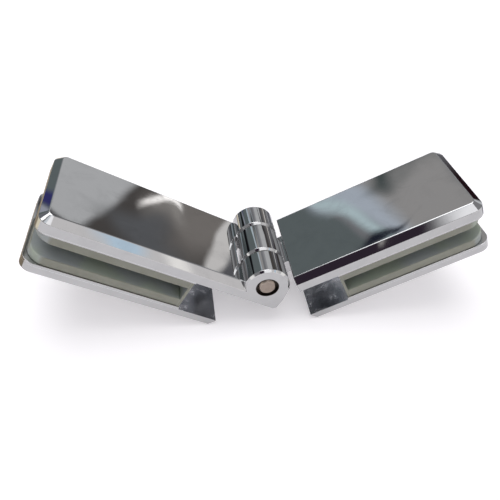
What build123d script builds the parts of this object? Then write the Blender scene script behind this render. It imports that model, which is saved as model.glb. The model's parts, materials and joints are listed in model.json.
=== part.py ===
"""Glass-to-glass folding hinge: two clamp leaves for 6 mm glass on a three-knuckle barrel.

Frame: X across the two leaves, Y along the hinge pin, +Z up. The hinge stands half open on the lower
edges of its two back plates, and the origin is at the bottom centre of its box. Each leaf has its own
directions: "out" runs away from the pin along the leaf, and "level" is the height along the leaf's
normal, 0 at the pin's axis and negative towards the back plate.
"""

import os
from math import cos, radians, sin, sqrt

from build123d import *

os.makedirs("parts", exist_ok=True)

# Hinge as a whole, mm and degrees
LEFT = -1
RIGHT = 1
leaf_tilt = 27.8
half_width = 20.0
leaf_end = 81.4
glass_thickness = 6.0

# Barrel
barrel_radius = 8.5
rim_bevel = 0.8
middle_half_length = 7.65
knuckle_gap = 0.5
left_web_overlap = 1.5
free_side_reach = 9.0
free_side_top = 3.2
free_side_full = -3.0
free_tip_chamfer = 1.0
right_web_overlap = 1.9
right_web_top = -3.2

# Hinge pin and its bushes
pin_radius = 3.3
pin_end_recess = 0.1
pin_chamfer = 0.6
pin_seat_radius = 3.32
end_recess_radius = 4.3
end_recess_depth = 2.2
bush_bore_radius = 3.35
bush_radius = 4.5
bush_seat_radius = 4.52
bush_length = 7.0
flange_radius = 7.0
flange_thickness = 0.4

# Front plates
front_face = -2.45
face_bevel = 2.45
bevel_round = 0.5
side_round = 0.3
corner_radius = 4.3
land_step = 0.5
land_start = 25.0
left_plate_start = 6.5
left_notch_reach = 9.3
right_plate_start = 9.8

# Back plates
back_plate_start = 9.0
back_thickness = 5.4
back_land_step = 1.1
back_bevel = 1.5
hinge_bevel_run = 3.2
hinge_bevel_edge = 0.4

# Gaskets
gasket_thickness = 3.5
edge_strip_start = 25.3
gasket_start = 26.3
gasket_end = 80.4
gasket_half_width = 19.6
gasket_corner_radius = 6.5
gasket_hole_radius = 5.2
gasket_edge_round = 0.35

# Clamp screws, their bosses and the sleeves that line the glass holes
inner_screw_place = 38.0
outer_screw_place = 65.0
screw_radius = 2.5
screw_length = 20.0
screw_tip_chamfer = 0.5
screw_head_radius = 4.7
screw_head_sink = 0.1
screw_seat_gap = 0.05
screw_key_width = 3.0
screw_key_depth = 1.8
screw_hole_radius = 2.75
countersink_radius = 5.2
countersink_angle = 45
tapped_radius = 2.55
tapped_end = -5.0
boss_radius = 4.0
boss_height = 4.0
sleeve_radius = 5.0
sleeve_bore_radius = 4.15
sleeve_end_gap = 0.1

# Set screws that hold the pin in the outer knuckles
set_screw_radius = 2.0
set_screw_hole_radius = 2.04
set_screw_length = 4.0
set_screw_tip_gap = 0.04
set_screw_tip_chamfer = 0.5
set_screw_key_width = 2.0
set_screw_key_depth = 1.8

# Reach within which a point counts as lying at a level
level_tolerance = 1e-3

# Levels and places worked out from the sizes above
front_underside = -barrel_radius
front_land = front_underside - land_step
back_land = front_land - 2 * gasket_thickness - glass_thickness
back_underside = back_land - back_land_step
back_face = back_land - back_thickness
bevel_foot = front_face - face_bevel
hinge_bevel_end = back_plate_start + hinge_bevel_run
outer_knuckle_start = middle_half_length + knuckle_gap
pin_half_length = half_width - pin_end_recess
set_screw_place = (outer_knuckle_start + half_width - end_recess_depth) / 2
tilt_cos = cos(radians(leaf_tilt))
tilt_sin = sin(radians(leaf_tilt))
pin_height = -(hinge_bevel_end * tilt_sin + back_face * tilt_cos)
pin_centre = Vector(0, 0, pin_height)
pin_axis = Axis(pin_centre, (0, 1, 0))
barrel_plane = Plane.XY.offset(pin_height)
sides = {"left": LEFT, "right": RIGHT}
screw_places = {"inner": inner_screw_place, "outer": outer_screw_place}
clamp_places = [(out, 0) for out in screw_places.values()]


def out_direction(side):
    """Direction away from the pin along a leaf."""
    return Vector(side * tilt_cos, 0, tilt_sin)


def level_direction(side):
    """Direction that a leaf's front face looks in."""
    return Vector(-side * tilt_sin, 0, tilt_cos)


def leaf_plane(side, level):
    """Plane parallel to a leaf's faces: x runs out along the leaf, z out of its front face."""
    centre = pin_centre + level_direction(side) * level
    return Plane(origin=centre, x_dir=out_direction(side), z_dir=level_direction(side))


def cross_plane(side, along):
    """Plane square to the pin: x runs out along the leaf, y out of its front face."""
    centre = pin_centre + Vector(0, along, 0)
    return Plane(origin=centre, x_dir=out_direction(side), z_dir=(0, -side, 0))


def leaf_axis(side, out, along):
    """Line square to a leaf's faces, at a distance out from the pin and a place along it."""
    return Axis(pin_centre + out_direction(side) * out + Vector(0, along, 0), level_direction(side))


def outline(plane, start, end=leaf_end, half=half_width, outer_radius=corner_radius):
    """Outline of a plate, land or gasket: square at its hinge edge, rounded at its outer corners."""
    with BuildSketch(plane) as sketch:
        with BuildLine():
            rounded = FilletPolyline(
                (start, -half), (end, -half), (end, half), (start, half), radius=outer_radius
            )
            Line(rounded @ 1, rounded @ 0)
        make_face()
    return sketch.sketch


def section(plane, corners):
    """Section with straight sides through its corners."""
    with BuildSketch(plane) as sketch:
        with BuildLine():
            Polyline(*corners, close=True)
        make_face()
    return sketch.sketch


def discs(plane, places, radius):
    """Equal discs at (out, along) places on a plane."""
    with BuildSketch(plane) as sketch:
        with Locations(*places):
            Circle(radius)
    return sketch.sketch


def level_of(side, vertex):
    """Level of a point of a leaf."""
    return leaf_plane(side, 0).to_local_coords(vertex.center()).Z


def out_of(side, edge):
    """Distance of an edge's middle out from the pin."""
    return leaf_plane(side, 0).to_local_coords(edge.center()).X


def edges_at(part, side, level, beyond=0.0):
    """Edges that lie at one level of a leaf, with their middle beyond a distance out from the pin."""

    def chosen(edge):
        flat = all(abs(level_of(side, vertex) - level) < level_tolerance for vertex in edge.vertices())
        return flat and out_of(side, edge) > beyond

    return part.edges().filter_by(chosen)


def save(part, name):
    """Label a finished piece and write it to its own file."""
    part.label = name
    export_step(part, f"parts/{name}.step")


def turned(plane, corners, axis):
    """Solid of revolution about an axis, from the corners of its half section."""
    with BuildPart() as piece:
        revolve(section(plane, corners), axis=axis)
    return piece.part


def knuckle(start, end):
    """Solid knuckle with bevelled rims, from one place along the pin to another."""
    rim = barrel_radius - rim_bevel
    half_section = [
        (0, start),
        (rim, start),
        (barrel_radius, start + rim_bevel),
        (barrel_radius, end - rim_bevel),
        (rim, end),
        (0, end),
    ]
    return turned(barrel_plane, half_section, pin_axis)


def front_leaf(side, plate_start, web, knuckles):
    """Front plate bevelled on its three outer edges, with a gasket land, tapped bosses and knuckles.

    web is the section of the block that joins a knuckle to the plate, and knuckles lists where each
    knuckle starts and ends along the pin.
    """
    with BuildPart() as leaf:
        extrude(outline(leaf_plane(side, front_underside), plate_start), amount=front_face - front_underside)
        chamfer(edges_at(leaf, side, front_face, land_start), face_bevel)
        fillet(edges_at(leaf, side, front_face), bevel_round)
        fillet(edges_at(leaf, side, bevel_foot, land_start), side_round)
        extrude(outline(leaf_plane(side, front_land), land_start), amount=land_step)
        boss_end = leaf_plane(side, front_land - boss_height)
        extrude(discs(boss_end, clamp_places, boss_radius), amount=boss_height)
        for start, end in knuckles:
            extrude(section(cross_plane(side, start), web), amount=-side * (end - start))
            add(knuckle(start, end))
        tapped_depth = tapped_end - (front_land - boss_height)
        extrude(discs(boss_end, clamp_places, tapped_radius), amount=tapped_depth, mode=Mode.SUBTRACT)
    return leaf.part


def round_hole(radius, mouth, direction, depth):
    """Round hole from a mouth on the pin's axis, as a solid to take away."""
    with BuildPart() as hole:
        with BuildSketch(Plane(origin=mouth, z_dir=direction)):
            Circle(radius)
        extrude(amount=depth)
    return hole.part


def place_along(along):
    """Point on the pin's axis."""
    return pin_centre + Vector(0, along, 0)


def back_plate(side):
    """Back plate: bevelled round its outer face, cut back at the hinge end so that the leaves can open."""
    corners = [
        (back_plate_start, back_underside),
        (land_start, back_underside),
        (land_start, back_land),
        (leaf_end, back_land),
        (leaf_end, back_face),
        (hinge_bevel_end, back_face),
        (back_plate_start, back_underside - hinge_bevel_edge),
    ]
    with BuildPart() as plate:
        extrude(section(cross_plane(side, 0), corners), amount=half_width, both=True)
        upright = plate.edges().filter_by(Axis(pin_centre, level_direction(side)))
        fillet([edge for edge in upright if out_of(side, edge) > leaf_end - corner_radius], corner_radius)
        chamfer(edges_at(plate, side, back_face, land_start), back_bevel)
        fillet(edges_at(plate, side, back_face, land_start), bevel_round)
        fillet(edges_at(plate, side, back_face + back_bevel, land_start), side_round)
        outer_face = leaf_plane(side, back_face)
        holes = discs(outer_face, clamp_places, screw_hole_radius)
        extrude(holes, amount=back_thickness, mode=Mode.SUBTRACT)
        mouths = discs(outer_face, clamp_places, countersink_radius)
        extrude(mouths, amount=countersink_radius, taper=countersink_angle, mode=Mode.SUBTRACT)
    return plate.part


def gasket(side, level):
    """Gasket from a level of the leaf towards its front, with a hole for each clamp screw's sleeve."""
    with BuildPart() as pad:
        shape = outline(
            leaf_plane(side, level), gasket_start, gasket_end, gasket_half_width, gasket_corner_radius
        )
        extrude(shape, amount=gasket_thickness)
        rims = edges_at(pad, side, level) + edges_at(pad, side, level + gasket_thickness)
        fillet(rims, gasket_edge_round)
        holes = discs(leaf_plane(side, level), clamp_places, gasket_hole_radius)
        extrude(holes, amount=gasket_thickness, mode=Mode.SUBTRACT)
    return pad.part


def edge_strip(side):
    """Strip across a leaf that stops the glass edge, between the two lands and against both gaskets."""
    corners = [
        (edge_strip_start, back_land),
        (gasket_start, back_land),
        (gasket_start, front_land),
        (edge_strip_start, front_land),
    ]
    with BuildPart() as strip:
        extrude(section(cross_plane(side, 0), corners), amount=gasket_half_width, both=True)
    return strip.part


def key_socket(side, level, places, width, depth):
    """Hexagon sockets that open at a level of the leaf and run towards its front, as solids to take away."""
    with BuildPart() as sockets:
        with BuildSketch(leaf_plane(side, level)):
            with Locations(*places):
                RegularPolygon(width / 2, 6, major_radius=False)
        extrude(amount=depth)
    return sockets.part


def clamp_screw(side, out):
    """Countersunk clamp screw with a hexagon socket, in through the back plate to the front plate."""
    top = back_face + screw_head_sink
    tip = top + screw_length
    cone_start = back_face + countersink_radius - screw_seat_gap - screw_head_radius
    cone_end = cone_start + screw_head_radius - screw_radius
    half_section = [
        (out, top),
        (out + screw_head_radius, top),
        (out + screw_head_radius, cone_start),
        (out + screw_radius, cone_end),
        (out + screw_radius, tip - screw_tip_chamfer),
        (out + screw_radius - screw_tip_chamfer, tip),
        (out, tip),
    ]
    with BuildPart() as screw:
        add(turned(cross_plane(side, 0), half_section, leaf_axis(side, out, 0)))
        add(key_socket(side, top, [(out, 0)], screw_key_width, screw_key_depth), mode=Mode.SUBTRACT)
    return screw.part


def glass_sleeve(side, out):
    """Nylon sleeve that lines the hole in the glass, round the boss and the clamp screw."""
    low = back_land + sleeve_end_gap
    high = front_land - sleeve_end_gap
    inner = out + sleeve_bore_radius
    outer = out + sleeve_radius
    half_section = [(inner, low), (outer, low), (outer, high), (inner, high)]
    return turned(cross_plane(side, 0), half_section, leaf_axis(side, out, 0))


def pin_bush(end):
    """Flanged bush pressed into one end of the middle knuckle; its flange is the thrust washer."""
    inside = end * (middle_half_length - bush_length)
    face = end * middle_half_length
    outside = end * (middle_half_length + flange_thickness)
    half_section = [
        (bush_bore_radius, inside),
        (bush_radius, inside),
        (bush_radius, face),
        (flange_radius, face),
        (flange_radius, outside),
        (bush_bore_radius, outside),
    ]
    return turned(barrel_plane, half_section, pin_axis)


def set_screw(along):
    """Set screw under an outer knuckle, its tip against the pin and its key socket to the outside."""
    tip = -pin_radius - set_screw_tip_gap
    foot = tip - set_screw_length
    half_section = [
        (0, foot),
        (set_screw_radius, foot),
        (set_screw_radius, tip - set_screw_tip_chamfer),
        (set_screw_radius - set_screw_tip_chamfer, tip),
        (0, tip),
    ]
    with BuildPart() as screw:
        add(turned(cross_plane(LEFT, along), half_section, leaf_axis(LEFT, 0, along)))
        sockets = key_socket(LEFT, foot, [(0, -along)], set_screw_key_width, set_screw_key_depth)
        add(sockets, mode=Mode.SUBTRACT)
    return screw.part


# Left front leaf: a knuckle at each end of the barrel, with a flat free side down to its lower corner.
# Its plate runs into both knuckles, with a notch between them for the middle one
left_web = [
    (0, free_side_top),
    (-sqrt(barrel_radius**2 - free_side_top**2), free_side_top),
    (-free_side_reach, free_side_full),
    (-free_side_reach, front_underside + free_tip_chamfer),
    (-free_side_reach + free_tip_chamfer, front_underside),
    (left_plate_start + left_web_overlap, front_underside),
    (left_plate_start + left_web_overlap, bevel_foot),
    (0, bevel_foot),
]
left_knuckles = [(-half_width, -outer_knuckle_start), (outer_knuckle_start, half_width)]
left_notch = [
    (0, 0),
    (0, front_underside),
    (left_notch_reach, front_underside),
    (left_notch_reach, 0),
]
with BuildPart() as left_front_leaf:
    add(front_leaf(LEFT, left_plate_start, left_web, left_knuckles))
    notch = section(cross_plane(LEFT, 0), left_notch)
    extrude(notch, amount=outer_knuckle_start, both=True, mode=Mode.SUBTRACT)
    add(round_hole(pin_seat_radius, place_along(-half_width), (0, 1, 0), 2 * half_width), mode=Mode.SUBTRACT)
    for end in (-1, 1):
        recess = round_hole(end_recess_radius, place_along(end * half_width), (0, -end, 0), end_recess_depth)
        add(recess, mode=Mode.SUBTRACT)
    set_screw_mouths = [(0, -set_screw_place), (0, set_screw_place)]
    set_screw_holes = discs(leaf_plane(LEFT, front_underside), set_screw_mouths, set_screw_hole_radius)
    extrude(set_screw_holes, amount=-front_underside, mode=Mode.SUBTRACT)
save(left_front_leaf.part, "left_front_leaf")

# Right front leaf: one knuckle in the middle of the barrel
right_web = [
    (0, front_underside),
    (right_plate_start + right_web_overlap, front_underside),
    (right_plate_start + right_web_overlap, right_web_top),
    (0, right_web_top),
]
right_knuckles = [(-middle_half_length, middle_half_length)]
with BuildPart() as right_front_leaf:
    add(front_leaf(RIGHT, right_plate_start, right_web, right_knuckles))
    bush_seat = round_hole(bush_seat_radius, place_along(-half_width), (0, 1, 0), 2 * half_width)
    add(bush_seat, mode=Mode.SUBTRACT)
save(right_front_leaf.part, "right_front_leaf")

# Hinge pin, a little short of the barrel at each end
with BuildPart() as hinge_pin:
    half_section = [
        (0, -pin_half_length),
        (pin_radius - pin_chamfer, -pin_half_length),
        (pin_radius, -pin_half_length + pin_chamfer),
        (pin_radius, pin_half_length - pin_chamfer),
        (pin_radius - pin_chamfer, pin_half_length),
        (0, pin_half_length),
    ]
    add(turned(barrel_plane, half_section, pin_axis))
save(hinge_pin.part, "hinge_pin")

for end_name, end in {"near": -1, "far": 1}.items():
    save(pin_bush(end), f"{end_name}_pin_bush")
    save(set_screw(end * set_screw_place), f"{end_name}_pin_set_screw")

for side_name, side in sides.items():
    save(back_plate(side), f"{side_name}_back_plate")
    save(gasket(side, front_land - gasket_thickness), f"{side_name}_front_gasket")
    save(gasket(side, back_land), f"{side_name}_back_gasket")
    save(edge_strip(side), f"{side_name}_edge_gasket")
    for place_name, out in screw_places.items():
        save(clamp_screw(side, out), f"{side_name}_{place_name}_clamp_screw")
        save(glass_sleeve(side, out), f"{side_name}_{place_name}_glass_sleeve")
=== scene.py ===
"""Looks of the folding glass hinge: chrome leaves, soft gaskets, nylon and steel, in a pale studio."""

import json
import math

import bpy
from mathutils import Matrix, Vector


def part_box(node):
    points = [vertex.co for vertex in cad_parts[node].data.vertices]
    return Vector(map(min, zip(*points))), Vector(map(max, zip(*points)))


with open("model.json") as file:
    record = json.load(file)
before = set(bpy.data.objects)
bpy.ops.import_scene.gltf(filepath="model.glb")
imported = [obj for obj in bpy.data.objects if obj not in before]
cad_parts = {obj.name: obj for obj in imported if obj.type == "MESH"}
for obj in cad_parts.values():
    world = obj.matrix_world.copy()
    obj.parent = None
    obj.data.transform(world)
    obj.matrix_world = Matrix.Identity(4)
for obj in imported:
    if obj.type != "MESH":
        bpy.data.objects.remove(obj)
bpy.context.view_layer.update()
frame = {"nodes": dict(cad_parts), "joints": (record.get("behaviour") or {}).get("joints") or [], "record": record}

MM = 0.001
DEGREES = math.degrees(1)
LEFT = -1
RIGHT = 1

# Sizes of the design that the finishes follow: levels of the plates' inner faces, and the barrel's bore
FRONT_UNDERSIDE = -8.5 * MM
BACK_UNDERSIDE = -23.1 * MM
BORE_RADIUS = 4.3 * MM

# The design's own frame: the pin's axis and the directions of each leaf
pin_centre = Vector(frame["joints"][0]["pos_m"])
pin_axis = (0.0, 1.0, 0.0)
mount_axes = {mount["name"]: Vector(mount["axis"]) for mount in frame["record"]["mounts"]}
leaf_normals = {LEFT: mount_axes["left_glass_seat"], RIGHT: mount_axes["right_glass_seat"]}
leaf_outs = {LEFT: mount_axes["left_glass_slot"], RIGHT: mount_axes["right_glass_slot"]}


def reach_of(node, direction):
    """How far a CAD node reaches from the pin's centre in a direction."""
    return max((vertex.co - pin_centre).dot(direction) for vertex in frame["nodes"][node].data.vertices)


pad_half_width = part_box("left_front_gasket")[1].y
pad_end = reach_of("left_front_gasket", leaf_outs[LEFT])


# ---------------------------------------------------------------- node helpers

def feed(tree, value, socket):
    """Link an output to a socket, or set the socket's own value."""
    if isinstance(value, bpy.types.NodeSocket):
        tree.links.new(value, socket)
    else:
        socket.default_value = value


def maths(tree, operation, a, b=0.0, c=0.0):
    """One maths node."""
    node = tree.nodes.new("ShaderNodeMath")
    node.operation = operation
    for value, socket in zip((a, b, c), node.inputs):
        feed(tree, value, socket)
    return node.outputs[0]


def spread(tree, value, low, high, to_low=0.0, to_high=1.0, smooth=False):
    """Map a range of one value to another range, held at both ends."""
    node = tree.nodes.new("ShaderNodeMapRange")
    node.interpolation_type = "SMOOTHSTEP" if smooth else "LINEAR"
    feed(tree, value, node.inputs["Value"])
    feed(tree, low, node.inputs["From Min"])
    feed(tree, high, node.inputs["From Max"])
    feed(tree, to_low, node.inputs["To Min"])
    feed(tree, to_high, node.inputs["To Max"])
    return node.outputs["Result"]


def blend_colours(tree, factor, first, second):
    """Mix two colours by a factor."""
    node = tree.nodes.new("ShaderNodeMix")
    node.data_type = "RGBA"
    feed(tree, factor, node.inputs["Factor"])
    feed(tree, first, node.inputs["A"])
    feed(tree, second, node.inputs["B"])
    return node.outputs["Result"]


def vector_maths(tree, operation, a, b=(0.0, 0.0, 0.0)):
    """One vector maths node, whose result is a number or a vector as the operation has it."""
    node = tree.nodes.new("ShaderNodeVectorMath")
    node.operation = operation
    for value, socket in zip((a, b), node.inputs):
        feed(tree, value, socket)
    gives_number = operation in ("DOT_PRODUCT", "DISTANCE", "LENGTH")
    return node.outputs["Value" if gives_number else "Vector"]


def from_pin(tree, vector, direction):
    """Distance of a place from the pin's centre, measured along a fixed direction."""
    along = vector_maths(tree, "DOT_PRODUCT", vector, direction)
    return maths(tree, "SUBTRACT", along, pin_centre.dot(direction))


def place(tree):
    """Place on the object at rest, in metres from the origin of the design."""
    return tree.nodes.new("ShaderNodeTexCoord").outputs["Object"]


def stretched(tree, vector, scale, turn=(0.0, 0.0, 0.0)):
    """A vector turned and stretched."""
    node = tree.nodes.new("ShaderNodeMapping")
    feed(tree, vector, node.inputs["Vector"])
    node.inputs["Rotation"].default_value = turn
    node.inputs["Scale"].default_value = scale
    return node.outputs["Vector"]


def noise(tree, vector, size, detail=2.0, roughness=0.5, distortion=0.0):
    """Cloudy noise whose features have a size in metres."""
    node = tree.nodes.new("ShaderNodeTexNoise")
    feed(tree, vector, node.inputs["Vector"])
    node.inputs["Scale"].default_value = 1 / size
    node.inputs["Detail"].default_value = detail
    node.inputs["Roughness"].default_value = roughness
    node.inputs["Distortion"].default_value = distortion
    return node.outputs["Fac"]


def bumped(tree, height, depth, normal=None, strength=1.0):
    """Normal bent by a height of 0 to 1 that stands for a depth in metres."""
    node = tree.nodes.new("ShaderNodeBump")
    node.inputs["Strength"].default_value = strength
    node.inputs["Distance"].default_value = depth
    feed(tree, height, node.inputs["Height"])
    if normal is not None:
        tree.links.new(normal, node.inputs["Normal"])
    return node.outputs["Normal"]


def rounded_edges(tree, radius):
    """Normal with softened edges, and a mask of the edges from 0 to 1, used for wear and for painted edge
    highlights.
    """
    bevel = tree.nodes.new("ShaderNodeBevel")
    bevel.samples = 6
    bevel.inputs["Radius"].default_value = radius
    flat = tree.nodes.new("ShaderNodeNewGeometry")
    likeness = vector_maths(tree, "DOT_PRODUCT", bevel.outputs["Normal"], flat.outputs["Normal"])
    edge_wear_and_highlight = spread(tree, likeness, 0.998, 0.93)
    return bevel.outputs["Normal"], edge_wear_and_highlight


def material(name):
    """A new material with its node tree and its shader."""
    made = bpy.data.materials.new(name)
    made.use_nodes = True
    tree = made.node_tree
    return made, tree, tree.nodes["Principled BSDF"]


def set_surface(tree, shader, colour, roughness, normal):
    """Give a shader its colour, roughness and normal."""
    tree.links.new(colour, shader.inputs["Base Color"])
    tree.links.new(roughness, shader.inputs["Roughness"])
    tree.links.new(normal, shader.inputs["Normal"])


def set_scatter(shader, weight, radius, scale):
    """Let light a little way into a soft material."""
    shader.inputs["Subsurface Weight"].default_value = weight
    shader.inputs["Subsurface Radius"].default_value = radius
    shader.inputs["Subsurface Scale"].default_value = scale


# ---------------------------------------------------------------- materials

def polished(tree, at, normal):
    """Normal with the soft waves that polishing leaves in a face, and the fine grain of the plating."""
    waves = noise(tree, at, 26 * MM, detail=0.0)
    grain = noise(tree, at, 0.9 * MM, detail=3.0, roughness=0.6)
    normal = bumped(tree, waves, 0.10 * MM, normal)
    return bumped(tree, grain, 0.0009 * MM, normal)


def cast_skin(tree, at, side, inner_level, normal):
    """Skin that the die leaves on a plate's inner face: where it is, its tint and its arcs and pits."""
    level = from_pin(tree, at, leaf_normals[side])
    off_level = maths(tree, "ABSOLUTE", maths(tree, "SUBTRACT", level, inner_level))
    cast = spread(tree, off_level, 0.05 * MM, 0.02 * MM)
    patches = spread(tree, noise(tree, at, 7 * MM, detail=2.0), 0.50, 0.60, smooth=True)
    pits = spread(tree, noise(tree, at, 0.45 * MM, detail=2.0, roughness=0.6), 0.55, 0.62)
    pits = maths(tree, "MULTIPLY", maths(tree, "MULTIPLY", cast, patches), pits)
    arcs = noise(tree, stretched(tree, at, (1.0, 0.16, 1.0), (0.0, 0.0, 0.35)), 0.7 * MM, detail=3.0)
    normal = bumped(tree, maths(tree, "MULTIPLY", cast, arcs), 0.030 * MM, normal)
    normal = bumped(tree, pits, 0.060 * MM, normal)

    # Dark beside the barrel and paler farther out, with a ragged border between
    outward = from_pin(tree, at, leaf_outs[side])
    ragged = maths(tree, "ADD", outward, maths(tree, "MULTIPLY", patches, 2 * MM))
    farther = spread(tree, ragged, 15 * MM, 26 * MM)
    tint = blend_colours(tree, farther, (0.30, 0.31, 0.33, 1), (0.78, 0.79, 0.82, 1))
    tint = blend_colours(tree, pits, tint, (0.80, 0.80, 0.82, 1))
    return cast, tint, normal


def wiping_marks(tree, at):
    """Where smears and dry water marks are, and fine wiping scratches."""
    smears = spread(tree, noise(tree, at, 9 * MM, detail=4.0, roughness=0.62, distortion=0.6), 0.46, 0.72)
    wiped = stretched(tree, at, (1.0, 14.0, 3.0), (0.0, 0.0, 0.5))
    scratches = spread(tree, noise(tree, wiped, 2.5 * MM, detail=5.0, roughness=0.7), 0.62, 0.74)
    return smears, scratches


def inside_bore(tree, at):
    """Where the barrel's bore is, given a dark, dull finish."""
    across = stretched(tree, at, (1.0, 0.0, 1.0))
    off_axis = vector_maths(tree, "DISTANCE", across, (pin_centre.x, 0.0, pin_centre.z))
    return spread(tree, off_axis, BORE_RADIUS + 0.06 * MM, BORE_RADIUS + 0.02 * MM)


def chrome(name, side, inner_level):
    """Polished chrome plate on a zinc casting, whose face on the inner level is left as cast."""
    made, tree, shader = material(name)
    at = place(tree)
    normal, edge_wear_and_highlight = rounded_edges(tree, 0.22 * MM)
    normal = polished(tree, at, normal)
    cast, cast_tint, normal = cast_skin(tree, at, side, inner_level, normal)
    smears, scratches = wiping_marks(tree, at)
    bore = inside_bore(tree, at)
    tint = blend_colours(tree, smears, (0.475, 0.475, 0.480, 1), (0.440, 0.440, 0.445, 1))
    # Painted highlight: chrome edges are given a brighter colour that stands in for their bright glints; the extra
    # roughness there is wear.
    tint = blend_colours(tree, edge_wear_and_highlight, tint, (0.60, 0.59, 0.60, 1))
    tint = blend_colours(tree, cast, tint, cast_tint)
    tint = blend_colours(tree, bore, tint, (0.10, 0.085, 0.075, 1))
    roughness = spread(tree, smears, 0.0, 1.0, 0.022, 0.07)
    for mask, dulling in ((scratches, 0.035), (edge_wear_and_highlight, 0.10), (cast, 0.17), (bore, 0.35)):
        roughness = maths(tree, "ADD", roughness, maths(tree, "MULTIPLY", mask, dulling))
    set_surface(tree, shader, tint, roughness, normal)
    shader.inputs["Metallic"].default_value = 1.0
    return made


def gasket_rubber(name, side):
    """Translucent grey-green PVC, a little cloudy, with fine moulding lines, painted shade that darkens its outer
    faces and painted highlights that lighten its edges.
    """
    made, tree, shader = material(name)
    at = place(tree)
    normal, edge_wear_and_highlight = rounded_edges(tree, 0.3 * MM)
    cloud = noise(tree, at, 7 * MM, detail=3.0, roughness=0.6)
    specks = spread(tree, noise(tree, at, 0.35 * MM, detail=2.0), 0.66, 0.74)
    lines = noise(tree, stretched(tree, at, (0.12, 1.0, 1.6)), 0.8 * MM, detail=3.0)
    hue = spread(tree, noise(tree, at, 16 * MM, detail=1.0), 0.42, 0.58, smooth=True)
    pale = blend_colours(tree, hue, (0.270, 0.305, 0.255, 1), (0.260, 0.280, 0.290, 1))
    colour = blend_colours(tree, maths(tree, "MULTIPLY", cloud, 0.3), pale, (0.36, 0.38, 0.33, 1))
    # Painted shade: the outer side and end faces are given a darker colour than the faces inside the slot, which
    # are left paler.
    beside = maths(tree, "ABSOLUTE", vector_maths(tree, "DOT_PRODUCT", at, pin_axis))
    beside = spread(tree, beside, pad_half_width - 0.5 * MM, pad_half_width - 0.1 * MM)
    beyond = spread(tree, from_pin(tree, at, leaf_outs[side]), pad_end - 0.5 * MM, pad_end - 0.1 * MM)
    painted_shade_faces = maths(tree, "MAXIMUM", beside, beyond)
    painted_shade_colour = blend_colours(tree, cloud, (0.15, 0.150, 0.120, 1), (0.23, 0.232, 0.195, 1))
    colour = blend_colours(tree, painted_shade_faces, colour, painted_shade_colour)
    colour = blend_colours(tree, maths(tree, "MULTIPLY", specks, 0.25), colour, (0.46, 0.46, 0.42, 1))
    # Painted highlight: the gasket's edges are given a lighter colour that stands in for the light glinting along
    # them.
    colour = blend_colours(tree, maths(tree, "MULTIPLY", edge_wear_and_highlight, 0.35), colour, (0.38, 0.39, 0.35, 1))
    roughness = spread(tree, cloud, 0.3, 0.7, 0.30, 0.48)
    set_surface(tree, shader, colour, roughness, bumped(tree, lines, 0.012 * MM, normal))
    set_scatter(shader, 0.6, (1.0, 1.0, 0.8), 1.2 * MM)
    shader.inputs["IOR"].default_value = 1.52
    return made


def nylon():
    """Natural white nylon, slightly waxy, with faint turning lines."""
    made, tree, shader = material("nylon_natural")
    at = place(tree)
    normal, edge_wear_and_highlight = rounded_edges(tree, 0.1 * MM)
    cloud = noise(tree, at, 3 * MM, detail=3.0)
    lines = noise(tree, at, 0.25 * MM, detail=2.0)
    colour = blend_colours(tree, cloud, (0.72, 0.70, 0.63, 1), (0.82, 0.81, 0.76, 1))
    colour = blend_colours(tree, maths(tree, "MULTIPLY", edge_wear_and_highlight, 0.6), colour, (0.60, 0.59, 0.54, 1))
    roughness = spread(tree, cloud, 0.3, 0.7, 0.38, 0.52)
    set_surface(tree, shader, colour, roughness, bumped(tree, lines, 0.006 * MM, normal))
    set_scatter(shader, 0.35, (1.0, 0.9, 0.7), 0.8 * MM)
    return made


def turned_steel(name, axis_point, axis, dark, light, ring, worn):
    """Turned steel: fine rings round an axis, slight stains, brighter worn edges."""
    made, tree, shader = material(name)
    at = place(tree)
    normal, edge_wear_and_highlight = rounded_edges(tree, 0.12 * MM)
    offset = vector_maths(tree, "SUBTRACT", at, axis_point)
    radius = vector_maths(tree, "LENGTH", vector_maths(tree, "CROSS_PRODUCT", offset, axis))
    turns = maths(tree, "ADD", radius, vector_maths(tree, "DOT_PRODUCT", offset, axis))
    ripple = maths(tree, "ADD", turns, maths(tree, "MULTIPLY", noise(tree, at, 1.5 * MM), 0.12 * MM))
    rings = maths(tree, "SINE", maths(tree, "MULTIPLY", ripple, 2 * math.pi / ring))
    stain = noise(tree, at, 1.6 * MM, detail=4.0, roughness=0.65)
    colour = blend_colours(tree, stain, dark, light)
    colour = blend_colours(tree, edge_wear_and_highlight, colour, worn)
    roughness = spread(tree, rings, -1.0, 1.0, 0.20, 0.34)
    set_surface(tree, shader, colour, roughness, bumped(tree, rings, 0.008 * MM, normal))
    shader.inputs["Metallic"].default_value = 1.0
    return made


def dress(node, finish):
    """Give a CAD node one material in all of its slots."""
    for slot in frame["nodes"][node].material_slots:
        slot.material = finish


def middle(node):
    """Middle of a CAD node's box."""
    low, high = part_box(node)
    return (low + high) / 2


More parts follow.
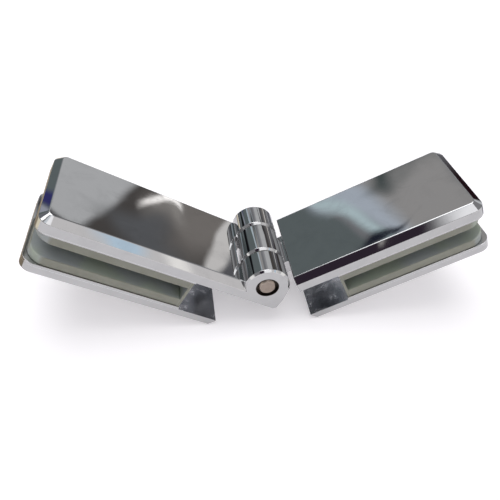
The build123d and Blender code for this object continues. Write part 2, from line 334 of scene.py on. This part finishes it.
white_nylon = nylon()
pin_steel = turned_steel(
    "pin_turned_steel", pin_centre, pin_axis,
    (0.22, 0.18, 0.15, 1), (0.37, 0.31, 0.27, 1), 0.55 * MM, (0.60, 0.55, 0.50, 1),
)
dress("hinge_pin", pin_steel)
for end in ("near", "far"):
    dress(f"{end}_pin_bush", white_nylon)
    blackened = turned_steel(
        f"{end}_blackened_steel", middle(f"{end}_pin_set_screw"), leaf_normals[LEFT],
        (0.035, 0.035, 0.04, 1), (0.10, 0.10, 0.11, 1), 0.3 * MM, (0.42, 0.41, 0.40, 1),
    )
    dress(f"{end}_pin_set_screw", blackened)
for side_name, side in {"left": LEFT, "right": RIGHT}.items():
    dress(f"{side_name}_front_leaf", chrome(f"{side_name}_front_chrome", side, FRONT_UNDERSIDE))
    dress(f"{side_name}_back_plate", chrome(f"{side_name}_back_chrome", side, BACK_UNDERSIDE))
    pvc = gasket_rubber(f"{side_name}_gasket_pvc", side)
    for part in ("front", "back", "edge"):
        dress(f"{side_name}_{part}_gasket", pvc)
    for place_name in ("inner", "outer"):
        screw = f"{side_name}_{place_name}_clamp_screw"
        stainless = turned_steel(
            f"{screw}_stainless", middle(screw), leaf_normals[side],
            (0.50, 0.50, 0.49, 1), (0.68, 0.68, 0.66, 1), 0.4 * MM, (0.86, 0.86, 0.85, 1),
        )
        dress(screw, stainless)
        dress(f"{side_name}_{place_name}_glass_sleeve", white_nylon)


# ---------------------------------------------------------------- studio

def sight(azimuth, elevation):
    """Direction at an azimuth, 0 away from the viewer and positive to the right, and an elevation."""
    a, e = math.radians(azimuth), math.radians(elevation)
    return Vector((math.sin(a) * math.cos(e), math.cos(a) * math.cos(e), math.sin(e)))


def patch(tree, turn, tilt, below, at, half, colour, soft=(1.0, 1.0), lean=0.0):
    """One soft-edged patch of colour in the surroundings, laid over the colour below it.

    at is the azimuth and elevation of its middle, half its half sizes and soft its soft edges, all in
    degrees. lean carries it sideways, in degrees for each degree up.
    """
    up = maths(tree, "SUBTRACT", tilt, at[1])
    across = maths(tree, "SUBTRACT", turn, at[0])
    across = maths(tree, "SUBTRACT", across, maths(tree, "MULTIPLY", up, lean))
    across = maths(tree, "WRAP", across, 180.0, -180.0)
    mask = 1.0
    for offset, reach, edge in zip((across, up), half, soft):
        distance = maths(tree, "ABSOLUTE", offset)
        cover = spread(tree, distance, reach + edge, reach - edge, smooth=True)
        mask = maths(tree, "MULTIPLY", cover, mask)
    return blend_colours(tree, mask, below, (*colour, 1))


# How far the patches' edges wander, in degrees
WANDER = 4.0

# Patches of the surroundings, each over those before it; colours are linear
PATCHES = [
    # ceiling, bright behind the viewer and dim to the left
    dict(at=(0, 90), half=(180, 16), soft=(1, 7), colour=(0.90, 0.90, 0.93)),
    dict(at=(-70, 52), half=(38, 13), soft=(14, 6), colour=(0.20, 0.21, 0.24)),
    dict(at=(-172, 60), half=(32, 9), soft=(12, 4), colour=(0.95, 1.00, 1.06)),
    dict(at=(168, 52), half=(23, 9), soft=(3, 2), colour=(1.45, 1.45, 1.48)),
    # low wall behind the viewer, which lights the gaskets and the pin's end
    dict(at=(180, 8), half=(85, 11), soft=(10, 4), colour=(1.30, 1.28, 1.25)),
    # right and right front, mirrored in the left leaf's near bevel
    dict(at=(64, 27), half=(10, 9), soft=(4, 4), colour=(0.80, 0.82, 0.85)),
    dict(at=(137, 32), half=(17, 14), soft=(7, 4), colour=(0.90, 0.88, 0.88)),
    dict(at=(133.5, 30), half=(1.2, 3), soft=(0.9, 1), colour=(1.35, 1.32, 1.28)),
    dict(at=(139, 36), half=(2.2, 4), soft=(1.2, 1), colour=(0.74, 0.94, 1.12)),
    # behind the viewer, mirrored in the right leaf's near bevel
    dict(at=(-157, 39), half=(9.8, 9), soft=(1.5, 3), colour=(0.042, 0.030, 0.046)),
    dict(at=(-158.5, 39.6), half=(0.5, 0.5), soft=(0.4, 0.5), colour=(0.60, 0.58, 0.56)),
    # rear wall
    dict(at=(0, 25), half=(50, 27), soft=(4, 3), colour=(0.26, 0.265, 0.28)),
    # left rear, mirrored in the right leaf
    dict(at=(-34, 30), half=(12, 24), soft=(0.5, 2), colour=(0.165, 0.195, 0.200)),
    dict(at=(-17.6, 38), half=(2.6, 12), soft=(1.2, 3), lean=0.35, colour=(0.60, 0.67, 0.76)),
    dict(at=(-11, 40), half=(5.5, 14), soft=(1.8, 3), colour=(0.45, 0.44, 0.435)),
    dict(at=(-6.9, 38.6), half=(3.0, 2.2), soft=(2.0, 1.2), lean=2.2, colour=(0.40, 0.43, 0.47)),
    dict(at=(-20.4, 38), half=(0.7, 8), soft=(0.7, 2), lean=0.15, colour=(0.66, 0.82, 0.86)),
    dict(at=(-10.6, 38.9), half=(2.6, 1.7), soft=(1.4, 1.0), lean=2.4, colour=(0.10, 0.12, 0.12)),
    dict(at=(-20.0, 41.2), half=(1.3, 1.2), soft=(1.0, 0.6), lean=2.6, colour=(0.020, 0.024, 0.040)),
    # low on the left, mirrored in the barrel's left flank and in the left leaf's end bevel
    dict(at=(-39.5, 13.2), half=(5.0, 4.0), soft=(1, 1.2), colour=(0.008, 0.009, 0.011)),
    dict(at=(-40, -1), half=(7, 4.5), soft=(1, 2), colour=(0.065, 0.070, 0.080)),
    dict(at=(-33.4, 19), half=(0.8, 2), soft=(0.4, 1), colour=(0.45, 0.47, 0.55)),
    dict(at=(-31.3, 18.4), half=(1.0, 1.6), soft=(0.5, 0.8), colour=(0.05, 0.05, 0.20)),
    # right rear, mirrored in the left leaf
    dict(at=(10, 35), half=(6, 22), soft=(4, 4), colour=(0.45, 0.45, 0.47)),
    dict(at=(18, 30), half=(8, 30), soft=(0.8, 3), colour=(0.66, 0.67, 0.68)),
    dict(at=(33, 27), half=(7, 22), soft=(0.8, 3), lean=0.13, colour=(0.100, 0.092, 0.088)),
    dict(at=(24.6, 30.2), half=(2.4, 1.6), soft=(1.0, 0.8), lean=-1.9, colour=(0.045, 0.045, 0.050)),
    dict(at=(34, 23), half=(6, 2.2), soft=(2, 1.5), lean=-1.4, colour=(0.150, 0.155, 0.165)),
    dict(at=(32, 17), half=(5.4, 3.2), soft=(2, 2.2), colour=(0.27, 0.25, 0.235)),
    dict(at=(31.0, 20.2), half=(1.9, 1.0), soft=(1.6, 1.0), lean=-1.2, colour=(0.38, 0.36, 0.34)),
    dict(at=(29.05, 20.9), half=(0.55, 0.7), soft=(0.5, 0.5), lean=-1.2, colour=(1.5, 1.45, 1.4)),
    dict(at=(30.0, 20.1), half=(0.4, 0.8), soft=(0.4, 0.5), lean=-1.2, colour=(2.1, 2.05, 2.0)),
    dict(at=(37.9, 17), half=(1.7, 5.4), soft=(0.5, 0.7), lean=0.8, colour=(0.88, 0.86, 0.84)),
    # low on the right, mirrored in the barrel's right flank and in the right leaf's end bevel
    dict(at=(44.2, 12), half=(4.4, 10), soft=(0.8, 3), colour=(0.15, 0.15, 0.165)),
    dict(at=(45.6, 6), half=(3.0, 4.5), soft=(0.9, 1.6), colour=(0.020, 0.008, 0.011)),
]


def surroundings():
    """Studio round the object, seen only in reflections and as light; the camera sees plain white."""
    world = bpy.data.worlds.new("studio")
    bpy.context.scene.world = world
    world.use_nodes = True
    tree = world.node_tree
    tree.nodes.clear()
    look = tree.nodes.new("ShaderNodeTexCoord").outputs["Generated"]
    split = tree.nodes.new("ShaderNodeSeparateXYZ")
    tree.links.new(look, split.inputs[0])
    x, y, z = split.outputs
    turned = stretched(tree, look, (1.0, 1.0, 1.0), (0.9, 0.0, 0.4))
    sideways = noise(tree, look, 0.16, detail=1.5, roughness=0.4)
    upward = noise(tree, turned, 0.13, detail=1.5, roughness=0.4)
    turn = maths(tree, "MULTIPLY", maths(tree, "ARCTAN2", x, y), DEGREES)
    turn = maths(tree, "ADD", turn, spread(tree, sideways, 0.0, 1.0, -WANDER, WANDER))
    tilt = maths(tree, "MULTIPLY", maths(tree, "ARCSINE", z), DEGREES)
    tilt = maths(tree, "ADD", tilt, spread(tree, upward, 0.0, 1.0, -WANDER, WANDER))

    # Pale ground below the horizon and a grey room above it, then the patches
    above = spread(tree, tilt, -6.0, -2.0)
    colour = blend_colours(tree, above, (0.85, 0.85, 0.86, 1), (0.33, 0.33, 0.34, 1))
    for each in PATCHES:
        colour = patch(tree, turn, tilt, colour, **each)
    light = tree.nodes.new("ShaderNodeBackground")
    tree.links.new(colour, light.inputs["Color"])
    light.inputs["Strength"].default_value = 1.12
    plain = tree.nodes.new("ShaderNodeBackground")
    plain.inputs["Color"].default_value = (1, 1, 1, 1)
    seen = tree.nodes.new("ShaderNodeLightPath").outputs["Is Camera Ray"]
    choose = tree.nodes.new("ShaderNodeMixShader")
    tree.links.new(seen, choose.inputs[0])
    tree.links.new(light.outputs[0], choose.inputs[1])
    tree.links.new(plain.outputs[0], choose.inputs[2])
    output = tree.nodes.new("ShaderNodeOutputWorld")
    tree.links.new(choose.outputs[0], output.inputs["Surface"])


surroundings()


def under_leaves():
    """Modifier that sinks a sheet to the lowest corner of the leaves, so that it never hides a leaf."""
    tree = bpy.data.node_groups.new("under_leaves", "GeometryNodeTree")
    for direction in ("INPUT", "OUTPUT"):
        tree.interface.new_socket("Geometry", in_out=direction, socket_type="NodeSocketGeometry")
    plates = tree.nodes.new("GeometryNodeJoinGeometry")
    for name in ("left_front_leaf", "left_back_plate", "right_front_leaf", "right_back_plate"):
        plate = tree.nodes.new("GeometryNodeObjectInfo")
        plate.transform_space = "RELATIVE"
        plate.inputs["Object"].default_value = frame["nodes"][name]
        tree.links.new(plate.outputs["Geometry"], plates.inputs["Geometry"])
    box = tree.nodes.new("GeometryNodeBoundBox")
    tree.links.new(plates.outputs["Geometry"], box.inputs["Geometry"])
    lowest = vector_maths(tree, "MULTIPLY", box.outputs["Min"], (0, 0, 1))
    sunk = tree.nodes.new("GeometryNodeTransform")
    tree.links.new(tree.nodes.new("NodeGroupInput").outputs[0], sunk.inputs["Geometry"])
    tree.links.new(lowest, sunk.inputs["Translation"])
    tree.links.new(sunk.outputs["Geometry"], tree.nodes.new("NodeGroupOutput").inputs[0])
    return tree


sink = under_leaves()


def sheet(name, x_edges, y_edges, height, finish):
    """Flat rectangle of the studio, at a height under the leaves."""
    (left, right), (near, far) = x_edges, y_edges
    corners = [(left, near, height), (right, near, height), (right, far, height), (left, far, height)]
    mesh = bpy.data.meshes.new(name)
    mesh.from_pydata(corners, [], [(0, 1, 2, 3)])
    mesh.materials.append(finish)
    laid = bpy.data.objects.new(name, mesh)
    bpy.context.scene.collection.objects.link(laid)
    laid.modifiers.new("under_leaves", "NODES").node_group = sink
    return laid


def pale_paper():
    """Pale lit paper: white as far as the horizon for the camera, dimmer in reflections."""
    made, tree, shader = material("pale_light_table")
    shader.inputs["Base Color"].default_value = (0.80, 0.79, 0.80, 1)
    shader.inputs["Roughness"].default_value = 0.9
    shader.inputs["Specular IOR Level"].default_value = 0.1
    shader.inputs["Emission Color"].default_value = (1.0, 0.965, 1.0, 1)
    paths = tree.nodes.new("ShaderNodeLightPath").outputs
    far_off = spread(tree, vector_maths(tree, "LENGTH", place(tree)), 0.25, 0.9)
    far_seen = maths(tree, "MULTIPLY", paths["Is Camera Ray"], far_off)
    glow = spread(tree, far_seen, 0.0, 1.0, 0.34, 1.1)
    glow = spread(tree, paths["Is Glossy Ray"], 0.0, 1.0, glow, 0.27)
    tree.links.new(glow, shader.inputs["Emission Strength"])
    return made


def board(name, x_edges, y_edges, near_colour, far_colour):
    """Board on the floor that only reflections see, one colour near the hinge and another farther off."""
    made, tree, shader = material(name)
    farther = spread(tree, vector_maths(tree, "LENGTH", place(tree)), 0.21, 0.29, smooth=True)
    tree.links.new(blend_colours(tree, farther, near_colour, far_colour), shader.inputs["Emission Color"])
    shader.inputs["Base Color"].default_value = (0, 0, 0, 1)
    shader.inputs["Emission Strength"].default_value = 1.0
    laid = sheet(name, x_edges, y_edges, BOARD_HEIGHT, made)
    laid.visible_camera = False
    laid.visible_diffuse = False
    laid.visible_shadow = False


FLOOR_EDGES = (-3.0, 3.0)
BOARD_HEIGHT = 0.5 * MM
SLATE = (0.15, 0.155, 0.18, 1)
sheet("floor", FLOOR_EDGES, FLOOR_EDGES, 0.0, pale_paper())
board("warm_board", (-0.60, -0.10), (-0.03, 0.50), (0.30, 0.235, 0.16, 1), (1.15, 1.05, 0.80, 1))
board("slate_board", (0.04, 0.60), (0.03, 0.60), SLATE, SLATE)


def soft_box(name, where, size, power):
    """Square area light aimed at the pin."""
    lamp = bpy.data.lights.new(name, "AREA")
    lamp.size = size
    lamp.energy = power
    holder = bpy.data.objects.new(name, lamp)
    holder.location = where
    holder.rotation_mode = "QUATERNION"
    holder.rotation_quaternion = (pin_centre - Vector(where)).to_track_quat("-Z", "Y")
    bpy.context.scene.collection.objects.link(holder)


soft_box("overhead", where=(-0.15, 0.10, 1.1), size=0.9, power=6.5)

# ---------------------------------------------------------------- camera

# Where the camera looks, from the photograph's viewing angle: azimuth, elevation and roll in degrees
view_azimuth = 11.19
view_elevation = -40.22
view_roll = 4.93
view_distance = 199.6 * MM
aim = pin_centre + Vector((-3.6, 1.14, 0.52)) * MM
lens = bpy.data.cameras.new("camera")
lens.lens = 36.14
lens.sensor_width = 36.0
lens.clip_start = 10 * MM
camera = bpy.data.objects.new("camera", lens)
view = sight(view_azimuth, view_elevation)
upright = view.to_track_quat("-Z", "Y")
rolled = Matrix.Rotation(math.radians(view_roll), 3, "Z").to_quaternion()
camera.location = aim - view * view_distance
camera.rotation_mode = "QUATERNION"
camera.rotation_quaternion = upright @ rolled
bpy.context.scene.collection.objects.link(camera)
bpy.context.scene.camera = camera
bpy.context.scene.view_settings.view_transform = "Standard"
